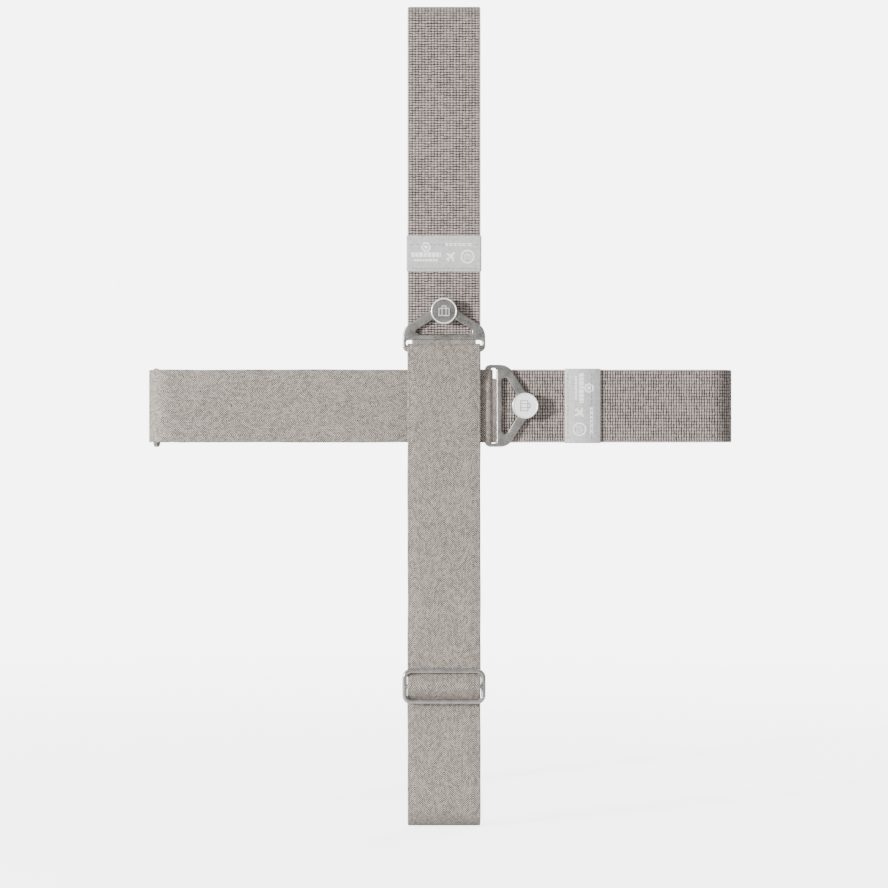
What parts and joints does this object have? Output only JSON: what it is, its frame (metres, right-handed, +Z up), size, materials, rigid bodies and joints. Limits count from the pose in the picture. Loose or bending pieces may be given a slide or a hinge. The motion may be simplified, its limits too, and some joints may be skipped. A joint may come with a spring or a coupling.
{
  "type": "luggage strap",
  "caption": "Crossed woven luggage straps in the loops they make round a case, with elastic bands, die-cast keyhole hooks, stud tabs, satin labels and wire sliders.",
  "frame": {"origin": "middle of the upright loop's bottom seat, on the face that the case's bottom stands on", "axes": "+Z up, -Y the case's front with the hooks, +X to the right seen from the front"},
  "size_m": [0.4105, 0.2652, 0.5645],
  "materials": {
    "webbing": "fine herringbone and twill weave, warm grey, matt",
    "elastic": "ribbed elastic weave, warm grey, matt",
    "label_satin": "woven satin, pale grey, with a soft sheen",
    "thread": "polyester sewing thread, pale warm grey",
    "hook_metal": "satin-plated die casting, warm grey, edges brightened by wear",
    "stud_metal": "satin-plated pressed metal with a bright rim",
    "slider_wire": "satin-plated bent wire, warm grey"
  },
  "bodies": {
    "root": {"upright_back_layer": "webbing", "upright_elastic_band": "elastic", "upright_elastic_front": "elastic", "upright_front_layer": "webbing", "upright_hook_fold": "webbing", "upright_join_stitching": "thread", "upright_webbing": "webbing", "upright_webbing_run": "webbing"},
    "level": {"level_back_layer": "webbing", "level_back_layer_side": "webbing", "level_elastic_band": "elastic", "level_elastic_front": "elastic", "level_front_layer": "webbing", "level_front_layer_side": "webbing", "level_hook_fold": "webbing", "level_join_stitching": "thread", "level_webbing": "webbing", "level_webbing_run": "webbing"},
    "upright_tab": {"upright_elastic_tab": "elastic", "upright_label": "label_satin", "upright_label_stitching": "thread"},
    "upright_stud": {"upright_stud_cap": "stud_metal", "upright_stud_post": "stud_metal", "upright_stud_washer": "stud_metal"},
    "upright_hook": {"upright_hook": "hook_metal"},
    "upright_slider": {"upright_slider_frame": "slider_wire", "upright_slider_bar": "slider_wire", "upright_slider_weave": "webbing", "upright_sewn_end": "webbing", "upright_sewn_end_stitching": "thread"},
    "level_tab": {"level_elastic_tab": "elastic", "level_label": "label_satin", "level_label_stitching": "thread"},
    "level_stud": {"level_stud_cap": "stud_metal", "level_stud_post": "stud_metal", "level_stud_washer": "stud_metal"},
    "level_hook": {"level_hook": "hook_metal"},
    "level_slider": {"level_slider_frame": "slider_wire", "level_slider_bar": "slider_wire", "level_slider_weave": "webbing", "level_sewn_end": "webbing", "level_sewn_end_stitching": "thread"}
  },
  "joints": [
    {"name": "level_strap_slide", "type": "slide", "parent": "root", "child": "level", "axis": [0, 0, 1], "range_m": [-0.15, 0.15]},
    {"name": "upright_tab_pull", "type": "slide", "parent": "root", "child": "upright_tab", "axis": [0, 0, -1], "range_m": [0, 0.005], "stiffness_N_per_m": 300, "deforming": ["upright_elastic_front"]},
    {"name": "upright_stud_turn", "type": "hinge", "parent": "upright_tab", "child": "upright_stud", "pos_m": [0, -0.129, 0.3524], "axis": [0, -1, 0], "continuous": true},
    {"name": "upright_hook_tilt", "type": "hinge", "parent": "root", "child": "upright_hook", "pos_m": [0, -0.1341, 0.327], "axis": [1, 0, 0], "range_deg": [0, 3.2]},
    {"name": "upright_slider_slide", "type": "slide", "parent": "root", "child": "upright_slider", "axis": [0, 0, 1], "range_m": [-0.035, 0.1], "deforming": ["upright_webbing_run", "upright_back_layer", "upright_front_layer"]},
    {"name": "level_tab_pull", "type": "slide", "parent": "level", "child": "level_tab", "axis": [-1, 0, 0], "range_m": [0, 0.005], "stiffness_N_per_m": 300, "deforming": ["level_elastic_front"]},
    {"name": "level_stud_turn", "type": "hinge", "parent": "level_tab", "child": "level_stud", "pos_m": [0.0556, -0.12, 0.288], "axis": [0, -1, 0], "continuous": true},
    {"name": "level_hook_tilt", "type": "hinge", "parent": "level", "child": "level_hook", "pos_m": [0.0302, -0.1251, 0.288], "axis": [0, 0, -1], "range_deg": [0, 3.2]},
    {"name": "level_slider_slide", "type": "slide", "parent": "level", "child": "level_slider", "axis": [0, 1, 0], "range_m": [-0.025, 0.07], "deforming": ["level_webbing_run", "level_back_layer_side", "level_front_layer_side"]}
  ]
}
